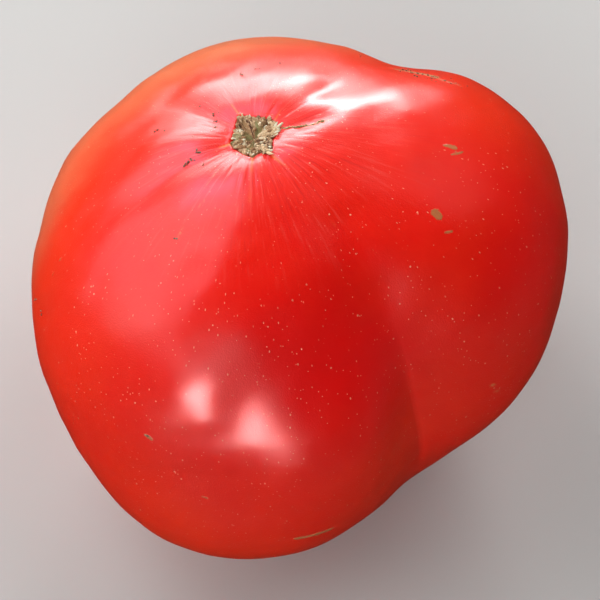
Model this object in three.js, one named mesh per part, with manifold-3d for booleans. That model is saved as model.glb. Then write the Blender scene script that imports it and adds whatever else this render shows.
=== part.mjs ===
// A large lobed beefsteak tomato, stalk end up, resting on a small flat spot of its underside.
// Millimetres. +Z is up, +Y points away from the side that it is seen from, and the origin is the
// middle of the footprint of its box, at the surface that it rests on.

import * as THREE from 'three';
import { mergeVertices } from 'three/addons/utils/BufferGeometryUtils.js';
import Module from 'manifold-3d';

const wasm = await Module();
wasm.setup();

// The fruit without its lobes is a boxy ellipsoid about the stalk's axis.
const HALF_WIDTH = 57;
const HALF_DEPTH = 56;
const CROWN_HEIGHT = 43.5;
const BASE_HEIGHT = 48.5;
const BOXINESS = 2.35; // 2 would be an ellipsoid

// How far the stalk's axis leans from upright, in degrees.
const LEAN_BACK = 10.5;
const LEAN_LEFT = 9;

// The lobes and swellings. Azimuth is round the stalk's axis from +X, polar is down from the stalk, both
// in degrees. Width is a chord of the unit sphere, and rise is a share of the radius.
const SWELLINGS = [
  { name: 'back lobe', azimuth: 100, polar: 82, width: 0.35, rise: 0.132 },
  { name: 'right lobe', azimuth: 8, polar: 77, width: 0.65, rise: 0.125 },
  { name: 'front lobe', azimuth: -108, polar: 126, width: 0.51, rise: 0.164 },
  { name: 'left flank', azimuth: 154, polar: 87, width: 0.48, rise: -0.011 },
  { name: 'right shoulder', azimuth: 10, polar: 1, width: 0.455, rise: 0.1 },
  { name: 'front shoulder', azimuth: -91, polar: 36, width: 0.465, rise: 0.046 },
  { name: 'left bump of the belly', azimuth: -97, polar: 63, width: 0.34, rise: 0.039 },
  { name: 'right bump of the belly', azimuth: -96, polar: 87, width: 0.22, rise: 0.032 },
  { name: 'wall of the front crease', azimuth: -75, polar: 87, width: 0.34, rise: 0.068 },
  { name: 'hollow above the belly', azimuth: -77, polar: 66, width: 0.26, rise: -0.047 },
  { name: 'seat', azimuth: -45, polar: 163, width: 0.42, rise: 0.14 },
];

// The furrows that run down from the stalk. Twist is how far one turns round the axis from pole to pole,
// width is half its breadth on the unit sphere, depth is a share of the radius, and it is deepest at
// polar and fades over fade.
const FURROWS = [
  { name: 'front right crease', azimuth: -54.5, twist: 2, width: 0.2, depth: 0.24, polar: 86, fade: 47 },
  { name: 'back right valley', azimuth: 31, twist: 66, width: 0.18, depth: 0.096, polar: 74, fade: 51 },
  { name: 'back left valley', azimuth: 145, twist: -18, width: 0.15, depth: 0.022, polar: 41, fade: 71 },
  { name: 'belly valley', azimuth: -86, twist: -24, width: 0.15, depth: 0.072, polar: 88, fade: 30 },
  { name: 'front groove', azimuth: -127, twist: -7, width: 0.07, depth: 0.02, polar: -5, fade: 25 },
  { name: 'left pleat', azimuth: 144, twist: 0, width: 0.06, depth: 0.022, polar: 19, fade: 13 },
  { name: 'low left pleat', azimuth: -155, twist: 0, width: 0.06, depth: 0.022, polar: 20, fade: 13 },
  { name: 'right pleat', azimuth: 15, twist: 0, width: 0.045, depth: 0.02, polar: 13, fade: 8 },
  { name: 'back right pleat', azimuth: 46, twist: 0, width: 0.05, depth: 0.018, polar: 22, fade: 11 },
  { name: 'back pleat', azimuth: 98, twist: 0, width: 0.06, depth: 0.012, polar: 15, fade: 9 },
];

// The dished cavity that the stalk grew from.
const CAVITY_DEPTH = 2.4;
const CAVITY_SPREAD = 13.5; // degrees down from the stalk

// The flat spot that the fruit rests on is this far above the lowest point of the uncut form.
const SEAT_CUT = 2.6;

// The stalk's torn scar is a cork patch with six corners, azimuth in degrees and reach in mm. The waist is
// how far its edge is drawn in between a corner and the next one, as a share of the reach.
const SCAR_CORNERS = [
  { azimuth: -168, reach: 5.0, waist: 0.2 },
  { azimuth: -88, reach: 6.5, waist: 0.2 },
  { azimuth: -60, reach: 7.1, waist: 0.36 },
  { azimuth: 18, reach: 5.6, waist: 0.06 },
  { azimuth: 57, reach: 5.8, waist: 0.13 },
  { azimuth: 117, reach: 7.3, waist: 0.25 },
];
const SCAR_RISE = 0.5; // the cork's height above the skin
const SCAR_ROOT = 2.2; // how deep it is sunk in the flesh
const POCKET_GAP = 0.3; // between the cork and the flesh, all round
const POCKET_RISE = 2; // how far the form that cuts its pocket stands above the skin

// The crumbs that the torn cork is made of.
const CRUMB_COUNT = 34;
const CRUMB_RADIUS = [0.55, 1.15];
const CRUMB_HEIGHT = [0.25, 0.85];
const CRUMB_SEED = 20417;

// Grid of each form: segments round the stalk's axis, and rings from pole to pole.
const FRUIT_GRID = [92, 44];
const SCAR_GRID = [44, 22];
const POCKET_GRID = [44, 10];
const RING_CROWDING = 1.25; // above 1 draws the fruit's rings closer together near the stalk

const radians = THREE.MathUtils.degToRad;

// The unit vector at an azimuth and a polar angle, both in radians, in the fruit's own frame.
function directionAt(azimuth, polar) {
  const level = Math.sin(polar);
  return new THREE.Vector3(level * Math.cos(azimuth), level * Math.sin(azimuth), Math.cos(polar));
}

// An angle brought to between minus pi and pi.
function wrapAngle(angle) {
  return Math.atan2(Math.sin(angle), Math.cos(angle));
}

// The radius of the boxy ellipsoid along a unit vector.
function bodyRadius(direction) {
  const height = direction.z > 0 ? CROWN_HEIGHT : BASE_HEIGHT;
  const sum = Math.abs(direction.x / HALF_WIDTH) ** BOXINESS
    + Math.abs(direction.y / HALF_DEPTH) ** BOXINESS
    + Math.abs(direction.z / height) ** BOXINESS;
  return sum ** (-1 / BOXINESS);
}

// What one swelling adds along a unit vector, as a share of the radius.
function swellingRise(swelling, direction) {
  const peak = directionAt(radians(swelling.azimuth), radians(swelling.polar));
  return swelling.rise * Math.exp(-direction.distanceToSquared(peak) / swelling.width ** 2);
}

// What one furrow takes away at a polar angle and an azimuth, as a share of the radius. Its floor is
// rounded, and its walls ease out into the lobes on both sides.
function furrowDepth(furrow, polar, azimuth) {
  const line = radians(furrow.azimuth) + radians(furrow.twist) * polar / Math.PI;
  const side = wrapAngle(azimuth - line) * Math.sin(polar) / furrow.width;
  const valley = Math.exp(1 - Math.sqrt(1 + side * side));
  const reach = (polar - radians(furrow.polar)) / radians(furrow.fade);
  return furrow.depth * valley * Math.exp(-reach * reach);
}

// The skin's distance from the fruit's middle along a unit vector.
function skinRadius(direction) {
  const polar = Math.acos(THREE.MathUtils.clamp(direction.z, -1, 1));
  const azimuth = Math.atan2(direction.y, direction.x);
  let share = 1;
  for (const swelling of SWELLINGS) share += swellingRise(swelling, direction);
  for (const furrow of FURROWS) share -= furrowDepth(furrow, polar, azimuth);
  const cavity = CAVITY_DEPTH * Math.exp(-((polar / radians(CAVITY_SPREAD)) ** 2));
  return bodyRadius(direction) * share - cavity;
}

// A closed unit sphere with its poles on Z and its shared vertices merged, each vertex then moved by a
// function of its azimuth and polar angle.
function shapedSphere([around, down], place) {
  let geometry = new THREE.SphereGeometry(1, around, down);
  geometry.rotateX(Math.PI / 2);
  geometry.deleteAttribute('normal');
  geometry.deleteAttribute('uv');
  geometry = mergeVertices(geometry, 1e-4);
  const positions = geometry.getAttribute('position');
  const vertex = new THREE.Vector3();
  for (let i = 0; i < positions.count; i += 1) {
    vertex.fromBufferAttribute(positions, i);
    const polar = Math.acos(THREE.MathUtils.clamp(vertex.z, -1, 1));
    const moved = place(Math.atan2(vertex.y, vertex.x), polar);
    positions.setXYZ(i, moved.x, moved.y, moved.z);
  }
  return geometry;
}

// The uncut fruit, about its own middle and the stalk's upright axis.
function fruitForm() {
  return shapedSphere(FRUIT_GRID, (azimuth, polar) => {
    const crowded = Math.PI * (polar / Math.PI) ** RING_CROWDING;
    const direction = directionAt(azimuth, crowded);
    return direction.multiplyScalar(skinRadius(direction));
  });
}

// How far the scar reaches from the stalk's axis at an azimuth: straight from corner to corner, and
// drawn in a little between them.
function scarReach(azimuth) {
  const turn = 2 * Math.PI;
  for (let i = 0; i < SCAR_CORNERS.length; i += 1) {
    const start = SCAR_CORNERS[i];
    const end = SCAR_CORNERS[(i + 1) % SCAR_CORNERS.length];
    const span = (radians(end.azimuth - start.azimuth) + turn) % turn;
    const along = (azimuth - radians(start.azimuth) + turn) % turn;
    if (along <= span) {
      const share = along / span;
      const drawn = 1 - start.waist * Math.sin(Math.PI * share);
      return THREE.MathUtils.lerp(start.reach, end.reach, share) * drawn;
    }
  }
  return SCAR_CORNERS[0].reach;
}

// A repeatable draw of numbers between 0 and 1.
function makeRandom(seed) {
  let state = seed;
  return () => {
    state = (state * 16807) % 2147483647;
    return state / 2147483647;
  };
}

// The crumbs of cork, each a place in the scar's plane with a radius and a height.
function makeCrumbs() {
  const random = makeRandom(CRUMB_SEED);
  const crumbs = [];
  for (let i = 0; i < CRUMB_COUNT; i += 1) {
    const azimuth = wrapAngle(2 * Math.PI * random());
    const distance = scarReach(azimuth) * Math.sqrt(random());
    crumbs.push({
      x: distance * Math.cos(azimuth),
      y: distance * Math.sin(azimuth),
      radius: THREE.MathUtils.lerp(...CRUMB_RADIUS, random()),
      height: THREE.MathUtils.lerp(...CRUMB_HEIGHT, random()),
    });
  }
  return crumbs;
}

// The height of the highest crumb over a place in the scar's plane.
function crumbHeight(crumbs, x, y) {
  let height = 0;
  for (const crumb of crumbs) {
    const apart = Math.hypot(x - crumb.x, y - crumb.y) / crumb.radius;
    if (apart < 1) height = Math.max(height, crumb.height * Math.sqrt(1 - apart * apart));
  }
  return height;
}

// A thick patch of the scar's outline that follows the skin: rise above it, root below it, and grown
// sideways by a margin.
function scarPatch(grid, { rise, root, margin, crumbs }) {
  const crownRadius = skinRadius(directionAt(0, 0));
  return shapedSphere(grid, (azimuth, polar) => {
    const distance = (scarReach(azimuth) + margin) * Math.sin(polar);
    const direction = directionAt(azimuth, Math.asin(distance / crownRadius));
    const level = Math.cos(polar);
    const x = distance * Math.cos(azimuth);
    const y = distance * Math.sin(azimuth);
    const crumb = crumbHeight(crumbs, x, y) * Math.sqrt(Math.max(level, 0));
    const offset = level > 0 ? rise * level + crumb : root * level;
    return direction.multiplyScalar(skinRadius(direction) + offset);
  });
}

// A closed geometry as a solid that can be joined and cut.
function toSolid(geometry) {
  const mesh = new wasm.Mesh({
    numProp: 3,
    vertProperties: new Float32Array(geometry.getAttribute('position').array),
    triVerts: new Uint32Array(geometry.getIndex().array),
  });
  return new wasm.Manifold(mesh);
}

// A solid as a geometry again.
function toGeometry(solid) {
  const mesh = solid.getMesh();
  const geometry = new THREE.BufferGeometry();
  geometry.setAttribute('position', new THREE.BufferAttribute(mesh.vertProperties, 3));
  geometry.setIndex(new THREE.BufferAttribute(mesh.triVerts, 1));
  geometry.computeVertexNormals();
  return geometry;
}

// The turn from the stalk's upright axis to the way the fruit lies.
function leanMatrix() {
  const back = new THREE.Matrix4().makeRotationX(-radians(LEAN_BACK));
  const left = new THREE.Matrix4().makeRotationY(-radians(LEAN_LEFT));
  return left.multiply(back);
}

// A block that holds everything below a level.
function blockBelow(level) {
  const side = 4 * HALF_WIDTH;
  const block = new THREE.BoxGeometry(side, side, side);
  block.translate(0, 0, level - side / 2);
  block.deleteAttribute('normal');
  block.deleteAttribute('uv');
  return mergeVertices(block);
}

// The fruit: its form, leaned, with a flat spot cut under it and a pocket for the scar.
function buildFruit(lean) {
  const form = fruitForm().applyMatrix4(lean);
  form.computeBoundingBox();
  const seatLevel = form.boundingBox.min.z + SEAT_CUT;
  const pocket = scarPatch(POCKET_GRID, {
    rise: POCKET_RISE,
    root: SCAR_ROOT + POCKET_GAP,
    margin: POCKET_GAP,
    crumbs: [],
  }).applyMatrix4(lean);
  const seated = toSolid(form).subtract(toSolid(blockBelow(seatLevel)));
  return toGeometry(seated.subtract(toSolid(pocket)));
}

// The torn cork of the stalk.
function buildScar(lean) {
  const cork = scarPatch(SCAR_GRID, { rise: SCAR_RISE, root: SCAR_ROOT, margin: 0, crumbs: makeCrumbs() });
  return cork.applyMatrix4(lean);
}

// One named piece of the tomato in its own material.
function makePiece(name, geometry, color, roughness) {
  const material = new THREE.MeshStandardMaterial({ color, roughness, metalness: 0 });
  const piece = new THREE.Mesh(geometry, material);
  piece.name = name;
  return piece;
}

// The whole tomato, moved so that the middle of its footprint is the origin.
function buildTomato() {
  const lean = leanMatrix();
  const tomato = new THREE.Group();
  tomato.add(makePiece('fruit', buildFruit(lean), 0xc61f12, 0.28));
  tomato.add(makePiece('stem_scar', buildScar(lean), 0x94815a, 0.95));
  const box = new THREE.Box3().setFromObject(tomato);
  const middle = box.getCenter(new THREE.Vector3());
  tomato.position.set(-middle.x, -middle.y, -box.min.z);
  return tomato;
}

export default buildTomato();
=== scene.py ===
"""A large lobed beefsteak tomato: its glossy skin, its torn corky stalk scar, and the light on it."""
import logging
import math
from dataclasses import dataclass
from enum import Enum
from typing import Mapping, Optional, Sequence, Union

import bmesh
import bpy
import numpy as np
from mathutils import Matrix, Vector, noise


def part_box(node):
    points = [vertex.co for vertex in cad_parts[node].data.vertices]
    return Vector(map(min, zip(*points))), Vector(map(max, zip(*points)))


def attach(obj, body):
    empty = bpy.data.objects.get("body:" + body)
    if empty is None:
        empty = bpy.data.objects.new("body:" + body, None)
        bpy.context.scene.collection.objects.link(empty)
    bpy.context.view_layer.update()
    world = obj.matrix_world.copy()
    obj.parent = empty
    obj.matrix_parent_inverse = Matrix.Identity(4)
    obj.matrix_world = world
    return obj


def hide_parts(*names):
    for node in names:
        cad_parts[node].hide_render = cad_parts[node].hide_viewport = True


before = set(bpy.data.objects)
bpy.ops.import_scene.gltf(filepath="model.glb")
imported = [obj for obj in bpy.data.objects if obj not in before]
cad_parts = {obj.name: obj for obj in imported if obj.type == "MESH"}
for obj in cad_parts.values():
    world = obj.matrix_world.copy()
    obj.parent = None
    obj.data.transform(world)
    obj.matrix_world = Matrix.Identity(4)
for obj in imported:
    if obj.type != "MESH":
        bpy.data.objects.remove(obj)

LOG = logging.getLogger("tomato")
MM = 0.001
BODY = "root"
FRUIT_NODE = "fruit"
SCAR_NODE = "stem_scar"

Colour = tuple[float, float, float, float]
Pair = tuple[float, float]
Array = np.ndarray


def colour(red: float, green: float, blue: float) -> Colour:
    """Gives a linear colour with full alpha, as Blender's sockets take it."""
    return (red, green, blue, 1.0)


class Mark(Enum):
    """The marks on the skin that are painted by place, each kept in a float attribute of the mesh."""

    VEIN = "vein"
    # Partly the skin's own tone and partly painted light and shade: orange where the skin is lit, crimson
    # where it is shaded.
    BLUSH_AND_LIGHT = "blush"
    RUSSET = "russet"
    SCRATCH = "scratch"


class Sum(Enum):
    """The kinds of arithmetic that a Math node does here."""

    ADD = "ADD"
    SUBTRACT = "SUBTRACT"
    MULTIPLY = "MULTIPLY"
    DIVIDE = "DIVIDE"
    MINIMUM = "MINIMUM"
    MAXIMUM = "MAXIMUM"
    SQRT = "SQRT"
    ARCTAN2 = "ARCTAN2"


class Signal:
    """A number or a colour that comes out of a node, with Python's arithmetic."""

    def __init__(self, graph: "Graph", socket: bpy.types.NodeSocket) -> None:
        """Wraps a node's output and the graph that the node is in."""
        self.graph = graph
        self.socket = socket

    def _sum(self, kind: Sum, first: "Feed", second: "Feed") -> "Signal":
        """Adds one Math node of a kind to the graph and gives its result."""
        return self.graph.node("ShaderNodeMath", {"operation": kind.value}, {0: first, 1: second})

    def __add__(self, other: "Feed") -> "Signal":
        """Adds a value."""
        return self._sum(Sum.ADD, self, other)

    def __radd__(self, other: "Feed") -> "Signal":
        """Adds this to a value."""
        return self._sum(Sum.ADD, other, self)

    def __sub__(self, other: "Feed") -> "Signal":
        """Takes a value away."""
        return self._sum(Sum.SUBTRACT, self, other)

    def __rsub__(self, other: "Feed") -> "Signal":
        """Takes this away from a value."""
        return self._sum(Sum.SUBTRACT, other, self)

    def __mul__(self, other: "Feed") -> "Signal":
        """Multiplies by a value."""
        return self._sum(Sum.MULTIPLY, self, other)

    def __rmul__(self, other: "Feed") -> "Signal":
        """Multiplies a value by this."""
        return self._sum(Sum.MULTIPLY, other, self)

    def __truediv__(self, other: "Feed") -> "Signal":
        """Divides by a value."""
        return self._sum(Sum.DIVIDE, self, other)

    def root(self) -> "Signal":
        """Gives the square root."""
        return self._sum(Sum.SQRT, self, 0.0)

    def least(self, other: "Feed") -> "Signal":
        """Gives the smaller of this and a value."""
        return self._sum(Sum.MINIMUM, self, other)

    def most(self, other: "Feed") -> "Signal":
        """Gives the larger of this and a value."""
        return self._sum(Sum.MAXIMUM, self, other)

    def angle_from(self, other: "Feed") -> "Signal":
        """Gives the angle whose tangent is this over a value."""
        return self._sum(Sum.ARCTAN2, self, other)

    def ease(self, low: float, high: float) -> "Signal":
        """Turns a range into a smooth step from 0 to 1.

        Args:
            low: Where the step is 0; it may be the larger of the two.
            high: Where the step is 1.

        Returns:
            The step.
        """
        rising = low < high
        ends = (low, high, 0.0, 1.0) if rising else (high, low, 1.0, 0.0)
        inputs = dict(zip(("From Min", "From Max", "To Min", "To Max"), ends))
        settings = {"interpolation_type": "SMOOTHSTEP", "clamp": True}
        return self.graph.node("ShaderNodeMapRange", settings, {"Value": self, **inputs})


Feed = Union[Signal, float, Sequence[float]]


class Graph:
    """The node graph of one material or one light."""

    def __init__(self, owner: Union[bpy.types.Material, bpy.types.Light]) -> None:
        """Empties a material's or a light's graph.

        Args:
            owner: The material or the light.
        """
        owner.use_nodes = True
        self.owner = owner
        self.tree = owner.node_tree
        self.tree.nodes.clear()

    @classmethod
    def of_material(cls, name: str) -> "Graph":
        """Starts a new material of that name."""
        return cls(bpy.data.materials.new(name))

    def node(
        self,
        kind: str,
        settings: Optional[Mapping[str, object]] = None,
        inputs: Optional[Mapping[Union[int, str], Feed]] = None,
        output: Union[int, str] = 0,
    ) -> Signal:
        """Adds a node.

        Args:
            kind: The node's type.
            settings: Its properties, which are set before its sockets.
            inputs: A value or a signal for each socket that is set, by name or number.
            output: The output to give back.

        Returns:
            The output.
        """
        made = self.tree.nodes.new(kind)
        for name, value in (settings or {}).items():
            setattr(made, name, value)
        for name, value in (inputs or {}).items():
            if isinstance(value, Signal):
                self.tree.links.new(value.socket, made.inputs[name])
            else:
                made.inputs[name].default_value = value
        return Signal(self, made.outputs[output])

    def mix(self, share: Feed, first: Feed, second: Feed) -> Signal:
        """Mixes two colours, with that share of the second."""
        settings = {"data_type": "RGBA", "clamp_factor": True}
        return self.node("ShaderNodeMix", settings, {0: share, 6: first, 7: second}, 2)

    def attribute(self, name: str) -> Signal:
        """Reads a float attribute of the mesh."""
        return self.node("ShaderNodeAttribute", {"attribute_name": name}, output="Fac")

    def parts(self, vector: Signal) -> tuple[Signal, Signal, Signal]:
        """Splits a vector in its three numbers."""
        outputs = self.node("ShaderNodeSeparateXYZ", inputs={0: vector}).socket.node.outputs
        return Signal(self, outputs[0]), Signal(self, outputs[1]), Signal(self, outputs[2])

    def vector(self, x: Feed, y: Feed, z: Feed) -> Signal:
        """Joins three numbers into a vector."""
        return self.node("ShaderNodeCombineXYZ", inputs={0: x, 1: y, 2: z})

    def turned(self, turn: Matrix, middle: Vector) -> Signal:
        """Gives the place on the object about a middle and in turned axes, in millimetres.

        Args:
            turn: The turn from the object's axes to the new ones.
            middle: The middle, in metres.

        Returns:
            The place.
        """
        place = self.node("ShaderNodeTexCoord", output="Object")
        inputs = {
            "Vector": place,
            "Location": turn @ middle * (-1.0 / MM),
            "Rotation": turn.to_euler(),
            "Scale": (1.0 / MM,) * 3,
        }
        return self.node("ShaderNodeMapping", inputs=inputs)

    def clouds(self, place: Signal, size: float, detail: float = 2.0, distortion: float = 0.0) -> Signal:
        """Gives smooth noise about 0.5, in blotches of a width that is in the unit of the place."""
        inputs = {"Vector": place, "Scale": 1.0 / size, "Detail": detail, "Distortion": distortion}
        return self.node("ShaderNodeTexNoise", inputs=inputs, output="Fac")

    def dots(self, place: Signal, pitch: float, radius: float, edge: float) -> Signal:
        """Gives round dots at random places.

        Args:
            place: Where they are read.
            pitch: The mean distance between them in space.
            radius: Their radius.
            edge: How far inside that radius they reach full strength.

        Returns:
            1 in a dot and 0 outside.
        """
        inputs = {"Vector": place, "Scale": 1.0 / pitch, "Randomness": 1.0}
        distance = self.node("ShaderNodeTexVoronoi", inputs=inputs, output="Distance")
        return distance.ease(radius / pitch, (radius - edge) / pitch)

    def raised(self, height: Signal, reach: float, below: Optional[Signal] = None) -> Signal:
        """Turns a height into a bumped normal.

        Args:
            height: The height, from 0 to 1.
            reach: What a height of 1 means, in metres.
            below: A normal that it is laid over.

        Returns:
            The normal.
        """
        inputs: dict[Union[int, str], Feed] = {"Height": height, "Distance": reach, "Strength": 1.0}
        if below is not None:
            inputs["Normal"] = below
        return self.node("ShaderNodeBump", inputs=inputs)

    def surface(self, inputs: Mapping[Union[int, str], Feed]) -> bpy.types.Material:
        """Ends the graph in a Principled shader.

        Args:
            inputs: The shader's sockets.

        Returns:
            The material.
        """
        shader = self.node("ShaderNodeBsdfPrincipled", inputs=inputs)
        self.end_in("ShaderNodeOutputMaterial", shader)
        return self.owner

    def end_in(self, kind: str, shader: Signal) -> None:
        """Links a shader to an output node of a kind."""
        output = self.tree.nodes.new(kind)
        self.tree.links.new(shader.socket, output.inputs["Surface"])


@dataclass(frozen=True)
class Swelling:
    """A lobe or bump of the fruit.

    Azimuth is round the stalk's axis from +X and polar is down from the stalk, in degrees. Width is a
    chord of the unit sphere, and rise is a share of the radius.
    """

    azimuth: float
    polar: float
    width: float
    rise: float


@dataclass(frozen=True)
class Furrow:
    """A furrow that runs down from the stalk.

    Twist is how far it turns round the axis from pole to pole, in degrees. Width is half its breadth on
    the unit sphere, and depth is a share of the radius. It is deepest at polar and fades over fade.
    """

    azimuth: float
    twist: float
    width: float
    depth: float
    polar: float
    fade: float


def direction_at(azimuth: Array, polar: Array) -> Array:
    """Gives unit vectors in the fruit's own frame, one row for each pair of angles in radians."""
    level = np.sin(polar)
    return np.stack([level * np.cos(azimuth), level * np.sin(azimuth), np.cos(polar)], -1)


def wrap(angle: Array) -> Array:
    """Brings angles to between minus pi and pi."""
    return np.arctan2(np.sin(angle), np.cos(angle))


def smooth_step(value: Array, low: float, high: float) -> Array:
    """Gives a smooth step from 0 at low to 1 at high; low may be the larger."""
    share = np.clip((value - low) / (high - low), 0.0, 1.0)
    return share * share * (3.0 - 2.0 * share)


@dataclass
class FruitForm:
    """The fruit's form about its own middle and the stalk's axis, in millimetres."""

    half_width: float = 57.0
    half_depth: float = 56.0
    crown_height: float = 43.5
    base_height: float = 48.5
    boxiness: float = 2.35
    lean_back: float = 10.5
    lean_left: float = 9.0
    cavity_depth: float = 2.4
    cavity_spread: float = 13.5
    swellings: tuple[Swelling, ...] = (
        Swelling(100, 82, 0.35, 0.132),
        Swelling(8, 77, 0.65, 0.125),
        Swelling(-108, 126, 0.51, 0.164),
        Swelling(154, 87, 0.48, -0.011),
        Swelling(10, 1, 0.455, 0.1),
        Swelling(-91, 36, 0.465, 0.046),
        Swelling(-97, 63, 0.34, 0.039),
        Swelling(-96, 87, 0.22, 0.032),
        Swelling(-75, 87, 0.34, 0.068),
        Swelling(-77, 66, 0.26, -0.047),
        Swelling(-45, 163, 0.42, 0.14),
    )
    furrows: tuple[Furrow, ...] = (
        Furrow(-54.5, 2, 0.2, 0.24, 86, 47),
        Furrow(31, 66, 0.18, 0.096, 74, 51),
        Furrow(145, -18, 0.15, 0.022, 41, 71),
        Furrow(-86, -24, 0.15, 0.072, 88, 30),
        Furrow(-127, -7, 0.07, 0.02, -5, 25),
        Furrow(144, 0, 0.06, 0.022, 19, 13),
        Furrow(-155, 0, 0.06, 0.022, 20, 13),
        Furrow(15, 0, 0.045, 0.02, 13, 8),
        Furrow(46, 0, 0.05, 0.018, 22, 11),
        Furrow(98, 0, 0.06, 0.012, 15, 9),
    )

    def lean(self) -> Matrix:
        """Gives the turn from the stalk's upright axis to the way the fruit lies."""
        back = Matrix.Rotation(-math.radians(self.lean_back), 3, "X")
        left = Matrix.Rotation(-math.radians(self.lean_left), 3, "Y")
        return left @ back

    def body_radius(self, direction: Array) -> Array:
        """Gives the radius of the boxy ellipsoid that the lobes stand on.

        Args:
            direction: Unit vectors.

        Returns:
            A radius for each.
        """
        x, y, z = np.abs(direction).T
        height = np.where(direction[:, 2] > 0, self.crown_height, self.base_height)
        power = self.boxiness
        total = (x / self.half_width) ** power + (y / self.half_depth) ** power + (z / height) ** power
        return total ** (-1.0 / power)

    def radius(self, azimuth: Array, polar: Array) -> Array:
        """Gives the skin's distance from the fruit's middle.

        Args:
            azimuth: Angles round the stalk's axis, in radians.
            polar: Angles down from the stalk, in radians.

        Returns:
            A radius for each pair of angles.
        """
        direction = direction_at(azimuth, polar)
        share = np.ones(len(direction))
        for swelling in self.swellings:
            peak = direction_at(np.radians(swelling.azimuth), np.radians(swelling.polar))
            apart = ((direction - peak) ** 2).sum(1)
            share += swelling.rise * np.exp(-apart / swelling.width**2)
        for furrow in self.furrows:
            line = math.radians(furrow.azimuth) + math.radians(furrow.twist) * polar / math.pi
            side = wrap(azimuth - line) * np.sin(polar) / furrow.width
            valley = np.exp(1.0 - np.sqrt(1.0 + side * side))
            reach = (polar - math.radians(furrow.polar)) / math.radians(furrow.fade)
            share -= furrow.depth * valley * np.exp(-reach * reach)
        cavity = self.cavity_depth * np.exp(-((polar / math.radians(self.cavity_spread)) ** 2))
        return self.body_radius(direction) * share - cavity


@dataclass(frozen=True)
class ScarCorner:
    """One of the scar's corners.

    Its azimuth is in degrees and its reach in millimetres. Its waist is how far the edge is drawn in from
    here to the next corner, as a share of the reach.
    """

    azimuth: float
    reach: float
    waist: float


@dataclass
class ScarOutline:
    """The outline of the torn scar round the stalk's axis, in millimetres."""

    corners: tuple[ScarCorner, ...] = (
        ScarCorner(-168, 5.0, 0.2),
        ScarCorner(-88, 6.5, 0.2),
        ScarCorner(-60, 7.1, 0.36),
        ScarCorner(18, 5.6, 0.06),
        ScarCorner(57, 5.8, 0.13),
        ScarCorner(117, 7.3, 0.25),
    )

    def reach(self, azimuth: Array) -> Array:
        """Gives how far the scar reaches, drawn in a little between its corners.

        Args:
            azimuth: Angles round the stalk's axis, in radians.

        Returns:
            The reach at each.
        """
        turn = 2.0 * math.pi
        result = np.zeros(len(azimuth))
        ends = self.corners[1:] + self.corners[:1]
        for start, end in zip(self.corners, ends):
            span = math.radians(end.azimuth - start.azimuth) % turn
            along = (azimuth - math.radians(start.azimuth)) % turn
            share = along / span
            straight = start.reach + (end.reach - start.reach) * share
            drawn = straight * (1.0 - start.waist * np.sin(math.pi * np.clip(share, 0.0, 1.0)))
            result = np.where(along <= span, drawn, result)
        return result


@dataclass
class Seat:
    """Where the fruit's form stands in the frame of the whole tomato."""

    turn: Matrix
    middle: Vector

    @classmethod
    def of_form(cls, form: FruitForm) -> "Seat":
        """Fits the form in the box of the fruit's node.

        Args:
            form: The fruit's form.

        Returns:
            The seat.
        """
        turn = form.lean()
        grid = np.meshgrid(np.linspace(-math.pi, math.pi, 241), np.linspace(0.0, math.pi, 121))
        azimuth, polar = grid[0].ravel(), grid[1].ravel()
        points = direction_at(azimuth, polar) * form.radius(azimuth, polar)[:, None] * MM
        points = points @ np.array(turn).T
        low, high = points.min(0), points.max(0)
        box_low, box_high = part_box(FRUIT_NODE)
        x = (box_low.x + box_high.x - low[0] - high[0]) / 2.0
        y = (box_low.y + box_high.y - low[1] - high[1]) / 2.0
        return cls(turn, Vector((x, y, box_high.z - high[2])))

    def place(self, points: Array) -> Array:
        """Moves points in millimetres about the fruit's middle to where they stand, in metres."""
        return points * MM @ np.array(self.turn).T + np.array(self.middle)


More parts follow.
